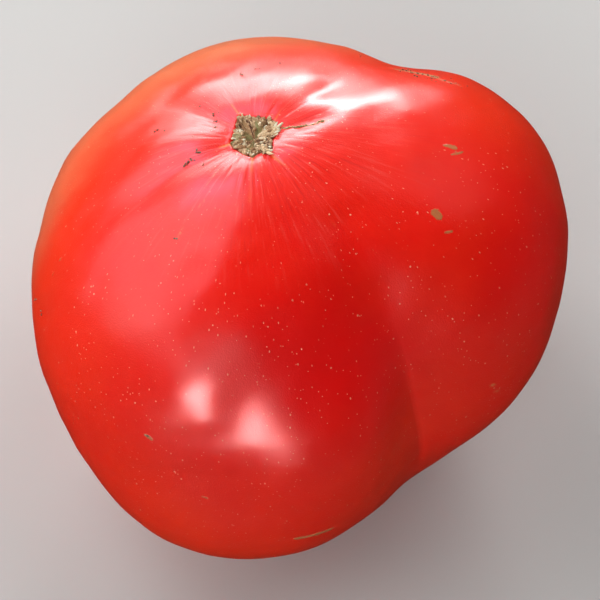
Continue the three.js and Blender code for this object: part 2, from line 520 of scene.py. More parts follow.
@dataclass
class Skin:
    """The fruit's fine skin surface, with the relief that is too small for the solid.

    Lengths are in millimetres and angles in degrees. A pair of numbers is the range of a random draw, or
    where a smooth step starts and where it ends. Each radius here turns an angle into a distance.
    """

    form: FruitForm
    outline: ScarOutline
    pleats: int = 120
    pleat_seed: int = 11
    pleat_radius: float = 46.0
    pleat_limit: float = 42.0
    pleat_start: Pair = (5.0, 12.0)
    pleat_length: Pair = (5.0, 20.0)
    pleat_width: Pair = (0.2, 0.45)
    pleat_depth: Pair = (0.008, 0.04)
    pleat_bend: Pair = (-0.25, 0.25)
    waves: int = 40
    wave_seed: int = 5
    wave_radius: float = 55.0
    wave_length: Pair = (6.0, 22.0)
    wave_slope: float = 0.00175
    pocket_radius: float = 44.0
    pocket_limit: float = 20.0
    pocket_edge: Pair = (-0.25, 0.5)
    pocket_depth: float = 1.5
    lip_height: float = 0.16
    lip_offset: float = 0.55
    lip_width: float = 0.45
    fold_azimuth: float = -52.6
    fold_radius: float = 50.0
    fold_depth: float = 0.8
    fold_left: float = 3.2
    fold_right: float = 1.2
    fold_top: Pair = (60.0, 84.0)
    fold_end: Pair = (126.0, 112.0)

    def relief(self, azimuth: Array, polar: Array) -> Array:
        """Gives what the fine relief adds to the radius, in millimetres, at angles in radians."""
        fine = self._undulation(azimuth, polar) + self._pleating(azimuth, polar)
        return fine + self._pocket(azimuth, polar) + self._fold(azimuth, polar)

    def _undulation(self, azimuth: Array, polar: Array) -> Array:
        """Gives the slight unevenness of grown skin, as a sum of plane waves.

        Args:
            azimuth: Angles round the stalk's axis, in radians.
            polar: Angles down from the stalk, in radians.

        Returns:
            Its height at each, in millimetres.
        """
        draw = np.random.default_rng(self.wave_seed)
        place = direction_at(azimuth, polar) * self.wave_radius
        total = np.zeros(len(azimuth))
        for _ in range(self.waves):
            way = draw.normal(size=3)
            length = draw.uniform(*self.wave_length)
            way *= 2.0 * math.pi / (length * np.linalg.norm(way))
            total += np.sin(place @ way + draw.uniform(0.0, 6.28)) * self.wave_slope * length
        return total

    def _pleating(self, azimuth: Array, polar: Array) -> Array:
        """Gives the fine pleats that run out from the scar.

        Args:
            azimuth: Angles round the stalk's axis, in radians.
            polar: Angles down from the stalk, in radians.

        Returns:
            Their height at each, in millimetres.
        """
        draw = np.random.default_rng(self.pleat_seed)
        total = np.zeros(len(azimuth))
        near = polar < math.radians(self.pleat_limit)
        across_radius = self.pleat_radius * np.sin(polar[near])
        for _ in range(self.pleats):
            line = draw.uniform(-math.pi, math.pi)
            start = math.radians(draw.uniform(*self.pleat_start))
            length = math.radians(draw.uniform(*self.pleat_length))
            width = draw.uniform(*self.pleat_width)
            depth = draw.uniform(*self.pleat_depth)
            bend = draw.uniform(*self.pleat_bend)
            side = wrap(azimuth[near] - line - bend * polar[near]) * across_radius / width
            along = (polar[near] - start) / length
            window = smooth_step(along, 0.0, 0.25) * smooth_step(along, 1.0, 0.4)
            total[near] -= depth * np.exp(-side * side) * window
        return total

    def _pocket(self, azimuth: Array, polar: Array) -> Array:
        """Gives the pocket under the scar and the lip round it.

        Args:
            azimuth: Angles round the stalk's axis, in radians.
            polar: Angles down from the stalk, in radians.

        Returns:
            Their height at each, in millimetres.
        """
        inside = self.outline.reach(azimuth) - self.pocket_radius * np.sin(polar)
        near = polar < math.radians(self.pocket_limit)
        pocket = -self.pocket_depth * smooth_step(inside, *self.pocket_edge)
        lip = self.lip_height * np.exp(-(((inside + self.lip_offset) / self.lip_width) ** 2))
        return np.where(near, pocket + lip, 0.0)

    def _fold(self, azimuth: Array, polar: Array) -> Array:
        """Gives the sharp fold in the floor of the front right crease, which is steeper on its right.

        Args:
            azimuth: Angles round the stalk's axis, in radians.
            polar: Angles down from the stalk, in radians.

        Returns:
            Its height at each, in millimetres.
        """
        side = wrap(azimuth - math.radians(self.fold_azimuth)) * self.fold_radius * np.sin(polar)
        valley = np.exp(-np.abs(side) / np.where(side < 0.0, self.fold_left, self.fold_right))
        down = np.degrees(polar)
        window = smooth_step(down, *self.fold_top) * smooth_step(down, *self.fold_end)
        return -self.fold_depth * valley * window

    def surface(self, azimuth: Array, polar: Array) -> Array:
        """Gives the skin's points about the fruit's middle, in millimetres, at angles in radians."""
        radius = self.form.radius(azimuth, polar) + self.relief(azimuth, polar)
        return direction_at(azimuth, polar) * radius[:, None]

    def spot(self, azimuth: float, polar: float) -> tuple[Vector, Vector]:
        """Gives one point of the skin and the way that the skin faces there.

        Args:
            azimuth: Angle round the stalk's axis, in degrees.
            polar: Angle down from the stalk, in degrees.

        Returns:
            The point in millimetres about the fruit's middle, and the outward unit normal.
        """
        step = 0.004
        turn, down = math.radians(azimuth), math.radians(polar)
        around = np.array([turn, turn - step, turn + step, turn, turn])
        along = np.array([down, down, down, down - step, down + step])
        points = direction_at(around, along) * self.form.radius(around, along)[:, None]
        normal = Vector(points[4] - points[3]).cross(Vector(points[2] - points[1])).normalized()
        return Vector(points[0]), normal


@dataclass(frozen=True)
class Stroke:
    """A mark that is painted on the skin along a short line.

    Its ends are azimuth and polar angles in degrees, its half widths there are in millimetres, and its
    strength is from 0 to 1.
    """

    start: Pair
    end: Pair
    start_width: float
    end_width: float
    strength: float


@dataclass(frozen=True)
class FlushAndLight:
    """A broad patch of the skin that is more orange, or more crimson where its strength is below 0; partly
    the skin's own tone and partly painted light and shade.

    Its place is in degrees, and its width is a chord of the unit sphere.
    """

    azimuth: float
    polar: float
    width: float
    strength: float


VEINS = (
    Stroke((-165, 5.6), (-164, 9.4), 0.46, 0.24, 1.0),
    Stroke((116, 9.4), (117, 15.0), 0.22, 0.12, 1.0),
    Stroke((-88.5, 8.2), (-89, 13.5), 0.3, 0.2, 1.0),
    Stroke((-89, 13.0), (-90, 23.0), 0.3, 0.3, 0.4),
    Stroke((45, 7.6), (53, 11.5), 0.2, 0.1, 0.5),
    Stroke((-58, 10.5), (-54, 16.0), 0.4, 0.3, 0.45),
    Stroke((10, 14.0), (12, 20.0), 0.3, 0.4, 0.45),
)
RUSSETS = (
    Stroke((-1, 46.5), (-1, 48.6), 0.6, 0.8, 0.9),
    Stroke((-4, 48.0), (-2, 50.2), 0.4, 0.5, 0.8),
    Stroke((-25, 49.5), (-25.5, 50.6), 1.1, 0.9, 1.0),
    Stroke((-28, 53.8), (-26.5, 54.6), 0.5, 0.5, 0.8),
    Stroke((-117, 78.6), (-115.4, 79.4), 0.6, 0.5, 1.0),
    Stroke((-107, 95.6), (-106, 96.4), 0.5, 0.4, 0.9),
    Stroke((-90, 112.6), (-82, 113.8), 0.7, 0.9, 1.0),
    Stroke((-159, 57.0), (-157, 66.0), 0.5, 0.3, 0.5),
    Stroke((-163, 60.0), (-161, 70.0), 0.4, 0.2, 0.4),
    Stroke((34, 54.0), (46, 52.0), 1.6, 1.2, 0.7),
    Stroke((28, 56.0), (33, 53.0), 1.2, 1.6, 0.55),
    Stroke((0, 180), (0, 180), 2.4, 2.4, 1.0),
)
SCRATCHES = (
    Stroke((-122, 35.0), (-119, 24.0), 0.14, 0.1, 0.7),
    Stroke((-36, 93.0), (-34, 100.0), 0.15, 0.1, 0.8),
    Stroke((-53, 34.0), (-53, 57.0), 0.14, 0.12, 0.35),
    Stroke((-126, 15.0), (-124, 21.0), 0.2, 0.12, 0.5),
    Stroke((118, 74.0), (131, 79.0), 0.14, 0.1, 0.6),
    Stroke((176, 92.0), (171, 101.0), 0.12, 0.1, 0.6),
)
STROKES = {Mark.VEIN: VEINS, Mark.RUSSET: RUSSETS, Mark.SCRATCH: SCRATCHES}
# Partly the skin's own ripening tone and partly painted light: orange patches stand for the glow of light on
# the lit sides, most on the back and left shoulders; crimson patches are painted shade on the belly, the
# right lobe and by the front crease.
FLUSHES_AND_LIGHT = (
    FlushAndLight(178, 92, 0.6, 0.6),
    FlushAndLight(114, 60, 0.5, 1.5),
    FlushAndLight(176, 66, 0.35, 0.8),
    FlushAndLight(152, 52, 0.35, 0.5),
    FlushAndLight(30, 62, 0.4, 0.5),
    FlushAndLight(74, 60, 0.36, 0.8),
    FlushAndLight(-112, 118, 0.42, 0.3),
    FlushAndLight(-60, 100, 0.3, 0.25),
    FlushAndLight(60, 110, 0.6, 0.3),
    FlushAndLight(-80, 62, 0.42, -0.45),
    FlushAndLight(-14, 76, 0.3, -0.35),
    FlushAndLight(-60, 75, 0.2, -0.3),
)


@dataclass(frozen=True)
class SkinFinish:
    """Ripe tomato skin: waxy and red, with pale specks, fine streaks by the stalk, russet marks, and painted
    light and shade in its orange and crimson tones.

    The pattern sizes are in millimetres, the reliefs in metres, and the streaks and dashes are that many
    to a radian round the stalk's axis.
    """

    crimson: Colour = colour(0.84, 0.004, 0.003)
    scarlet: Colour = colour(0.90, 0.032, 0.005)
    # Painted glow of light: the orange that the lights give the lit shoulders.
    lit_shoulder: Colour = colour(0.94, 0.22, 0.09)
    pale_streak: Colour = colour(0.85, 0.16, 0.12)
    deep_streak: Colour = colour(0.42, 0.006, 0.012)
    vein: Colour = colour(0.95, 0.30, 0.02)
    speck: Colour = colour(0.92, 0.40, 0.24)
    russet: Colour = colour(0.42, 0.17, 0.05)
    scratch: Colour = colour(0.62, 0.30, 0.10)
    roughness: float = 0.3
    shine: float = 0.3
    coat: float = 0.3
    coat_roughness: float = 0.18
    flesh_glow: float = 0.1
    broad_size: float = 24.0
    patch_size: float = 9.0
    mottle_size: float = 3.2
    wrinkle_size: float = 2.6
    crumble_size: float = 0.9
    grain_size: float = 0.32
    streaks: float = 34.0
    dashes: float = 30.0
    wrinkle_relief: float = 0.00004
    grain_relief: float = 0.00005

    def material(self, seat: Seat) -> bpy.types.Material:
        """Makes the skin's material.

        Args:
            seat: Where the fruit stands.

        Returns:
            The material.
        """
        graph = Graph.of_material("tomato skin")
        place = graph.turned(seat.turn.transposed(), seat.middle)
        x, y, z = graph.parts(place)
        out = (x * x + y * y).root().most(0.01)
        polar = out.angle_from(z)
        east, north = x / out, y / out
        near = polar.ease(0.95, 0.1)
        broad = graph.clouds(place, self.broad_size, 2.0, 0.6)
        mottle = graph.clouds(place, self.mottle_size, 3.0)
        # The orange number is partly the skin's own ripening and partly painted light: orange where lit,
        # crimson as painted shade on the belly.
        ripe_and_lit = graph.attribute(Mark.BLUSH_AND_LIGHT.value) + (broad - 0.5) * 0.5 + (mottle - 0.5) * 0.22
        tint = graph.mix(ripe_and_lit.ease(-0.2, 1.0), self.crimson, self.scarlet)
        # Painted light: the orange glow where the shoulders are lit.
        tint = graph.mix(ripe_and_lit.ease(0.8, 2.0), tint, self.lit_shoulder)
        spread = graph.vector(east * self.streaks, north * self.streaks, polar * 6.0)
        streaks = graph.clouds(spread, 1.0, 5.0)
        tint = graph.mix(streaks.ease(0.52, 0.75) * near * 0.45, tint, self.pale_streak)
        tint = graph.mix(streaks.ease(0.48, 0.28) * near * 0.35, tint, self.deep_streak)
        scatter = graph.clouds(place, self.patch_size, 2.0).ease(0.36, 0.62) * 0.8 + 0.2
        specks = graph.dots(place, 1.3, 0.15, 0.08).most(graph.dots(place, 3.6, 0.25, 0.12))
        spread = graph.vector(east * self.dashes, north * self.dashes, polar * 19.0)
        dashes = graph.dots(spread, 1.0, 0.11, 0.06)
        pale = specks.most(dashes * polar.ease(0.1, 0.3)) * scatter
        tint = graph.mix(pale * 0.75, tint, self.speck)
        crumble = graph.clouds(place, self.crumble_size, 4.0, 1.2)
        tint = graph.mix(graph.attribute(Mark.VEIN.value) * (crumble + 0.45).least(1.0), tint, self.vein)
        worn = (graph.attribute(Mark.RUSSET.value) * 1.5 + crumble - 0.5).ease(0.55, 0.95)
        tint = graph.mix(worn * 0.85, tint, self.russet)
        scored = graph.attribute(Mark.SCRATCH.value) * crumble.ease(0.3, 0.55)
        tint = graph.mix(scored, tint, self.scratch)
        grain = graph.clouds(place, self.grain_size, 3.0)
        relief = graph.raised(graph.clouds(place, self.wrinkle_size, 2.0), self.wrinkle_relief)
        relief = graph.raised(streaks * near, self.wrinkle_relief, below=relief)
        relief = graph.raised(grain + pale * 0.5 + worn * 1.2, self.grain_relief, below=relief)
        return graph.surface({
            "Base Color": tint,
            "Roughness": mottle * 0.08 + (self.roughness - 0.04) + worn * 0.3 + pale * 0.1,
            "Coat Weight": (1.0 - worn) * self.coat,
            "Coat Roughness": self.coat_roughness,
            "Coat IOR": 1.45,
            "Subsurface Weight": self.flesh_glow,
            "Subsurface Radius": (1.0, 0.25, 0.12),
            "Subsurface Scale": 0.003,
            "IOR": 1.45,
            "Specular IOR Level": self.shine,
            "Normal": relief,
        })


@dataclass(frozen=True)
class CorkFinish:
    """Dry torn cork: tan and beige crumbs with dark pits and painted shade in the lows, and an olive groove
    where the stalk's core was.

    The fibres are in millimetres and their relief is in metres.
    """

    name: str = "scar cork"
    tan: Colour = colour(0.36, 0.19, 0.09)
    beige: Colour = colour(0.78, 0.56, 0.34)
    paper: Colour = colour(0.78, 0.75, 0.56)
    # The dark of the pits, also used as painted shade in the lows and the hollow.
    pit_and_shade: Colour = colour(0.09, 0.03, 0.014)
    moss: Colour = colour(0.19, 0.19, 0.07)
    fibre_size: float = 0.5
    fibre_relief: float = 0.00012

    def material(self) -> bpy.types.Material:
        """Makes the cork's material, which reads each vertex's tone, its darkness of pits and painted shade,
        and its moss.

        Returns:
            The material.
        """
        graph = Graph.of_material(self.name)
        place = graph.turned(Matrix.Identity(3), Vector())
        fibres = graph.clouds(place, self.fibre_size, 4.0, 0.8)
        # The tone is the cork's own variety and, on the patch, painted light and shade by height.
        tone = graph.attribute("tone") + (fibres - 0.5) * 1.2
        tint = graph.mix(tone.ease(-0.1, 0.9), self.tan, self.beige)
        tint = graph.mix(tone.ease(0.95, 1.3), tint, self.paper)
        tint = graph.mix(graph.attribute("moss") * 0.85, tint, self.moss)
        # Pits and painted shade: the lows between the crumbs and the hollow go dark.
        holes_and_shade = (graph.attribute("pit_and_shade") + (fibres - 0.5) * 0.8).ease(0.35, 0.85)
        tint = graph.mix(holes_and_shade, tint, self.pit_and_shade)
        relief = graph.raised(fibres, self.fibre_relief)
        inputs = {"Base Color": tint, "Roughness": 0.95, "Specular IOR Level": 0.2, "Normal": relief}
        return graph.surface(inputs)


@dataclass(frozen=True)
class SoilFinish:
    """Dry garden soil in small crumbs, from dark brown to tan, with grit in millimetres, raised in metres."""

    dark: Colour = colour(0.09, 0.045, 0.025)
    light: Colour = colour(0.34, 0.24, 0.13)
    grit_size: float = 0.25
    grit_relief: float = 0.00006

    def material(self) -> bpy.types.Material:
        """Makes the soil's material, which reads the tone of each vertex.

        Returns:
            The material.
        """
        graph = Graph.of_material("soil")
        place = graph.turned(Matrix.Identity(3), Vector())
        grit = graph.clouds(place, self.grit_size, 3.0)
        tone = graph.attribute("tone") + (grit - 0.5) * 0.9
        tint = graph.mix(tone.ease(0.0, 1.0), self.dark, self.light)
        relief = graph.raised(grit, self.grit_relief)
        return graph.surface({"Base Color": tint, "Roughness": 0.95, "Normal": relief})


@dataclass(frozen=True)
class FloorFinish:
    """A plain pale matte surface."""

    tint: Colour = colour(0.55, 0.55, 0.535)

    def material(self) -> bpy.types.Material:
        """Makes the floor's material."""
        graph = Graph.of_material("pale floor")
        return graph.surface({"Base Color": self.tint, "Roughness": 0.85, "Specular IOR Level": 0.15})


def smooth_piece(name: str, mesh: bmesh.types.BMesh, material: bpy.types.Material) -> bpy.types.Object:
    """Turns a finished bmesh into a smooth object at the origin.

    Args:
        name: The object's name.
        mesh: The bmesh, which is freed.
        material: What it is made of.

    Returns:
        The object.
    """
    data = bpy.data.meshes.new(name)
    for face in mesh.faces:
        face.smooth = True
    mesh.to_mesh(data)
    mesh.free()
    data.materials.append(material)
    piece = bpy.data.objects.new(name, data)
    bpy.context.scene.collection.objects.link(piece)
    return piece


def keep_values(piece: bpy.types.Object, name: str, values: Array) -> None:
    """Keeps a number for each vertex of a piece, in an attribute of that name."""
    attribute = piece.data.attributes.new(name, "FLOAT", "POINT")
    attribute.data.foreach_set("value", values.astype(np.float32))


def sphere_angles(mesh: bmesh.types.BMesh) -> tuple[Array, Array]:
    """Gives where the vertices of a unit sphere are.

    Args:
        mesh: The sphere.

    Returns:
        The azimuth and the polar angle of each vertex, in radians.
    """
    points = np.array([vertex.co for vertex in mesh.verts])
    level = np.hypot(points[:, 0], points[:, 1])
    return np.arctan2(points[:, 1], points[:, 0]), np.arctan2(level, points[:, 2])


def move_vertices(mesh: bmesh.types.BMesh, points: Array) -> None:
    """Moves each vertex to its point."""
    for vertex, point in zip(mesh.verts, points):
        vertex.co = point


@dataclass
class Fruit:
    """The fruit with its skin."""

    skin: Skin
    seat: Seat
    segments: int = 376
    rings: int = 250
    crowding: float = 1.25
    softness: float = 0.35
    vein_fade: float = 0.6
    usual_tone_and_light: float = 0.3
    finish: SkinFinish = SkinFinish()

    def build(self) -> bpy.types.Object:
        """Builds the skin as one closed surface and paints its marks.

        Returns:
            The piece.
        """
        mesh = bmesh.new()
        bmesh.ops.create_uvsphere(mesh, u_segments=self.segments, v_segments=self.rings, radius=1.0)
        azimuth, polar = sphere_angles(mesh)
        polar = math.pi * (polar / math.pi) ** self.crowding
        form_points = self.skin.surface(azimuth, polar)
        placed = self.seat.place(form_points)
        placed[:, 2] = self._flattened(placed[:, 2])
        move_vertices(mesh, placed)
        piece = smooth_piece("tomato_skin", mesh, self.finish.material(self.seat))
        for mark in STROKES:
            keep_values(piece, mark.value, self._painted(form_points, mark))
        # The skin's own tone together with painted light and shade: orange where lit, crimson where shaded.
        keep_values(piece, Mark.BLUSH_AND_LIGHT.value, self._flushed_and_lit(direction_at(azimuth, polar)))
        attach(piece, BODY)
        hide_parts(FRUIT_NODE)
        return piece

    def _flattened(self, height: Array) -> Array:
        """Presses the underside on the floor, with a soft edge round the flat spot."""
        soft = self.softness * MM
        return soft * np.logaddexp(0.0, height / soft)

    def _painted(self, points: Array, mark: Mark) -> Array:
        """Paints one kind of mark.

        Args:
            points: The skin's points about the fruit's middle, in millimetres.
            mark: The kind of mark.

        Returns:
            Its strength at each point.
        """
        total = np.zeros(len(points))
        for stroke in STROKES[mark]:
            start, _ = self.skin.spot(*stroke.start)
            end, _ = self.skin.spot(*stroke.end)
            run = np.array(end - start)
            length = max(float(run @ run), 1e-6)
            share = np.clip((points - np.array(start)) @ run / length, 0.0, 1.0)
            apart = np.linalg.norm(points - np.array(start) - share[:, None] * run, axis=1)
            width = stroke.start_width + (stroke.end_width - stroke.start_width) * share
            fade = 1.0 - self.vein_fade * share if mark is Mark.VEIN else 1.0
            total = np.maximum(total, stroke.strength * fade * np.exp(-((apart / width) ** 2)))
        return total

    def _flushed_and_lit(self, direction: Array) -> Array:
        """Gives how orange the skin is: partly its own tone and partly painted light and shade.

        Args:
            direction: Unit vectors.

        Returns:
            A number for each, where about 0.3 is usual.
        """
        total = np.full(len(direction), self.usual_tone_and_light)
        for flush in FLUSHES_AND_LIGHT:
            peak = direction_at(np.radians(flush.azimuth), np.radians(flush.polar))
            apart = ((direction - peak) ** 2).sum(1)
            total += flush.strength * np.exp(-apart / flush.width**2)
        return total


@dataclass
class Grain:
    """One small irregular lump.

    Its middle is in millimetres about the fruit's middle, its half sizes are in millimetres, up is the way
    it stands, and turn is its turn about that from the way it lies along, in radians. A grain with a half
    size above large gets finer faces.
    """

    middle: Vector
    size: tuple[float, float, float]
    up: Vector
    turn: float
    tone: float
    roughness: float = 0.35
    along: Vector = Vector((1.0, 0.3, 0.0)).freeze()
    large: float = 0.35
    lump_scale: float = 1.9

    def add(self, mesh: bmesh.types.BMesh, seat: Seat) -> None:
        """Adds the lump to a mesh that keeps a tone for each vertex.

        Args:
            mesh: The mesh.
            seat: Where the fruit stands.
        """
        tone = mesh.verts.layers.float["tone"]
        side = self.up.cross(self.along).normalized()
        axes = Matrix((side.cross(self.up), side, self.up)).transposed()
        stand = axes @ Matrix.Rotation(self.turn, 3, "Z")
        fineness = 2 if max(self.size) > self.large else 1
        made = bmesh.ops.create_icosphere(mesh, subdivisions=fineness, radius=1.0)["verts"]
        for vertex in made:
            push = noise.noise(vertex.co * self.lump_scale + self.middle * 3.0)
            shaped = Vector(a * b for a, b in zip(vertex.co, self.size)) * (1.0 + self.roughness * 2.0 * push)
            point = self.middle + stand @ shaped
            vertex.co = seat.turn @ point * MM + seat.middle
            vertex[tone] = self.tone + push * 0.5


@dataclass
class StemScar:
    """The torn cork that is left of the stalk: a crumbly patch in the skin's pocket.

    Lengths are in millimetres, and a pair of numbers is the range of a random draw or a place across the
    scar. A sliver has an azimuth and a polar angle in degrees, a half length and a tone.
    """

    skin: Skin
    seat: Seat
    segments: int = 220
    rings: int = 116
    root: float = 1.7
    caps: int = 190
    cap_radius: Pair = (0.25, 0.75)
    cap_rise: Pair = (0.1, 0.5)
    cap_stretch: Pair = (0.7, 1.5)
    grains: int = 230
    grain_size: Pair = (0.16, 0.5)
    grain_lift: Pair = (0.1, 0.5)
    grain_tone: Pair = (-0.5, 1.3)
    grain_tilt: float = 0.4
    crumb_roughness: float = 0.5
    groove_width: float = 0.8
    groove_clear: float = 0.7
    groove_depth: float = 0.5
    hollow_width: float = 1.1
    hollow_depth: float = 0.8
    fine_scale: float = 2.6
    fine_height: float = 0.2
    seed: int = 3
    slivers: tuple[tuple[float, float, float, float], ...] = (
        (-60, 9.6, 1.3, 0.9),
        (-55, 8.6, 1.0, 1.1),
        (-66, 8.2, 0.9, 1.0),
        (-63, 7.6, 1.0, 0.6),
        (-50, 7.4, 0.8, 1.2),
        (-86, 7.6, 0.9, 1.25),
        (-93, 7.0, 0.7, 1.2),
        (-78, 7.0, 0.7, 1.2),
        (22, 7.2, 1.3, 1.15),
        (28, 6.4, 0.9, 1.3),
        (14, 6.6, 1.0, 1.2),
        (4, 6.2, 0.9, 1.2),
        (-8, 6.0, 0.8, 1.1),
        (113, 8.6, 0.8, 0.4),
        (120, 8.0, 0.7, 0.6),
        (178, 5.6, 0.9, 1.1),
        (-160, 5.4, 0.7, 1.1),
        (32, 2.4, 1.1, 1.0),
        (40, 4.0, 0.8, 0.7),
    )
    groove: tuple[Pair, ...] = ((-2.9, 4.9), (-1.6, 2.0), (-1.0, -1.6), (0.2, -3.2))
    side_groove: tuple[Pair, ...] = ((-0.6, 0.6), (0.6, 1.6), (2.5, 3.3))
    hollow: Pair = (1.5, -1.6)
    finish: CorkFinish = CorkFinish()

    def build(self) -> bpy.types.Object:
        """Builds the patch and the loose crumbs on it.

        Returns:
            The piece.
        """
        draw = np.random.default_rng(self.seed)
        mesh = bmesh.new()
        bmesh.ops.create_uvsphere(mesh, u_segments=self.segments, v_segments=self.rings, radius=1.0)
        azimuth, polar = sphere_angles(mesh)
        crown = float(self.skin.form.radius(np.zeros(1), np.zeros(1))[0])
        distance = self._ragged_reach(azimuth) * np.sin(polar)
        x, y = distance * np.cos(azimuth), distance * np.sin(azimuth)
        above = np.cos(polar)
        height, shaded_lowness = self._torn_height(x, y, self._ragged_reach(azimuth) - distance, draw)
        offset = np.where(above > 0, height * smooth_step(above, 0.0, 0.25), self.root * above)
        down = np.arcsin(distance / crown)
        radius = self.skin.form.radius(azimuth, down) + offset
        move_vertices(mesh, self.seat.place(direction_at(azimuth, down) * radius[:, None]))
        # The patch is lighter where it stands higher and darker in its lows: painted light and shade by
        # height.
        tone = mesh.verts.layers.float.new("tone")
        for vertex, value in zip(mesh.verts, np.clip(height * 1.2 - 0.1, 0.0, 1.0)):
            vertex[tone] = value
        moss = np.exp(-((self._groove_distance(x, y) / 0.9) ** 2))
        self._add_grains(mesh, crown, draw)
        patch = len(x)
        piece = smooth_piece("cork_scar", mesh, self.finish.material())
        loose = np.zeros(len(piece.data.vertices) - patch)
        keep_values(piece, "moss", np.concatenate([moss, loose]))
        # How dark each vertex is: the pits, and painted shade in the lows and the hollow.
        keep_values(piece, "pit_and_shade", np.concatenate([shaded_lowness, loose]))
        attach(piece, BODY)
        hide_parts(SCAR_NODE)
        return piece

    def _ragged_reach(self, azimuth: Array) -> Array:
        """Gives the scar's torn edge.

        Args:
            azimuth: Angles round the stalk's axis, in radians.

        Returns:
            How far it is from the axis at each, in millimetres.
        """
        ragged = 0.05 * np.sin(azimuth * 9.0 + 1.0) + 0.04 * np.sin(azimuth * 17.0 + 2.3)
        ragged += 0.03 * np.sin(azimuth * 31.0 + 0.7)
        return self.skin.outline.reach(azimuth) * (1.0 + ragged)

    def _groove_distance(self, x: Array, y: Array) -> Array:
        """Gives how far places in the scar's plane are from the olive grooves.

        Args:
            x: Places across the scar, in millimetres.
            y: Places along the scar, in millimetres.

        Returns:
            The distance of each, in millimetres.
        """
        nearest = np.full(len(x), 1e3)
        for line in (self.groove, self.side_groove):
            for start, end in zip(line, line[1:]):
                run = (end[0] - start[0], end[1] - start[1])
                share = ((x - start[0]) * run[0] + (y - start[1]) * run[1]) / (run[0] ** 2 + run[1] ** 2)
                share = np.clip(share, 0.0, 1.0)
                apart = np.hypot(x - start[0] - share * run[0], y - start[1] - share * run[1])
                nearest = np.minimum(nearest, apart)
        return nearest

    def _torn_height(
        self, x: Array, y: Array, inside: Array, draw: np.random.Generator
    ) -> tuple[Array, Array]:
        """Gives the torn surface's height and how much of a pit it is.

        Args:
            x: Places across the scar, in millimetres.
            y: Places along the scar, in millimetres.
            inside: How far each is inside the edge, in millimetres.
            draw: Where random numbers come from.

        Returns:
            The height above the skin in millimetres, and how dark its pits and the painted shade in its lows
            are, from 0 to 1.
        """
        crumbs = np.zeros(len(x))
        for _ in range(self.caps):
            turn = draw.uniform(-math.pi, math.pi)
            out = float(self.skin.outline.reach(np.array([turn]))[0]) * math.sqrt(draw.uniform(0.0, 1.0))
            radius = draw.uniform(*self.cap_radius)
            rise = draw.uniform(*self.cap_rise)
            stretch = draw.uniform(*self.cap_stretch)
            across = (x - out * math.cos(turn)) / (radius * stretch)
            along = (y - out * math.sin(turn)) / radius
            cap = np.clip(1.0 - across * across - along * along, 0.0, 1.0)
            crumbs = np.maximum(crumbs, rise * np.sqrt(cap))
        groove = np.exp(-((self._groove_distance(x, y) / self.groove_width) ** 2))
        apart = (x - self.hollow[0]) ** 2 + (y - self.hollow[1]) ** 2
        hollow = np.exp(-(apart / self.hollow_width**2))
        places = (Vector((a, b, 4.0)) * self.fine_scale for a, b in zip(x, y))
        fine = np.array([noise.fractal(place, 0.6, 2.1, 4) for place in places])
        base = 0.05 + 0.25 * smooth_step(inside, 0.0, 0.8)
        height = base + crumbs * (1.0 - 0.8 * np.maximum(groove, hollow)) + self.fine_height * fine
        height -= self.groove_depth * groove + self.hollow_depth * hollow
        # Painted shade: darkest where no crumb stands, and in the hollow.
        shaded_lowness = np.clip(0.9 - crumbs * 4.0 - fine * 0.6, 0.0, 1.0) * (1.0 - groove) * 0.9 + hollow
        return height, np.clip(shaded_lowness, 0.0, 1.0)

    def _add_grains(self, mesh: bmesh.types.BMesh, crown: float, draw: np.random.Generator) -> None:
        """Adds the loose crumbs, more of them by the edge.

        Args:
            mesh: The patch's mesh.
            crown: The fruit's radius at the stalk, in millimetres.
            draw: Where random numbers come from.
        """
        for _ in range(self.grains):
            turn = draw.uniform(-math.pi, math.pi)
            reach = float(self.skin.outline.reach(np.array([turn]))[0])
            out = reach * draw.uniform(0.15, 0.96) ** 0.5
            x, y = out * math.cos(turn), out * math.sin(turn)
            size = draw.uniform(*self.grain_size)
            shares = (draw.uniform(0.8, 1.8), draw.uniform(0.7, 1.1), draw.uniform(0.5, 0.9))
            shape = tuple(size * share for share in shares)
            lift = draw.uniform(*self.grain_lift)
            tone = draw.uniform(*self.grain_tone)
            spin = draw.uniform(0.0, math.pi)
            lean = Vector(draw.normal(0.0, self.grain_tilt, 3))
            if self._groove_distance(np.array([x]), np.array([y]))[0] < self.groove_clear:
                continue
            point, normal = self.skin.spot(math.degrees(turn), math.degrees(math.asin(out / crown)))
            up = (normal + lean).normalized()
            Grain(point + normal * lift, shape, up, spin, tone, self.crumb_roughness).add(mesh, self.seat)
        for azimuth, polar, length, tone in self.slivers:
            point, normal = self.skin.spot(azimuth, polar)
            away = (self.skin.spot(azimuth, polar + 1.0)[0] - point).normalized()
            up = (normal * 2.0 - away * 0.5).normalized()
            shape = (length, length * 0.3, length * 0.14)
            middle = point + normal * (0.3 + length * 0.12)
            spin = draw.normal(0.0, 0.3)
            Grain(middle, shape, up, spin, tone, self.crumb_roughness, away).add(mesh, self.seat)


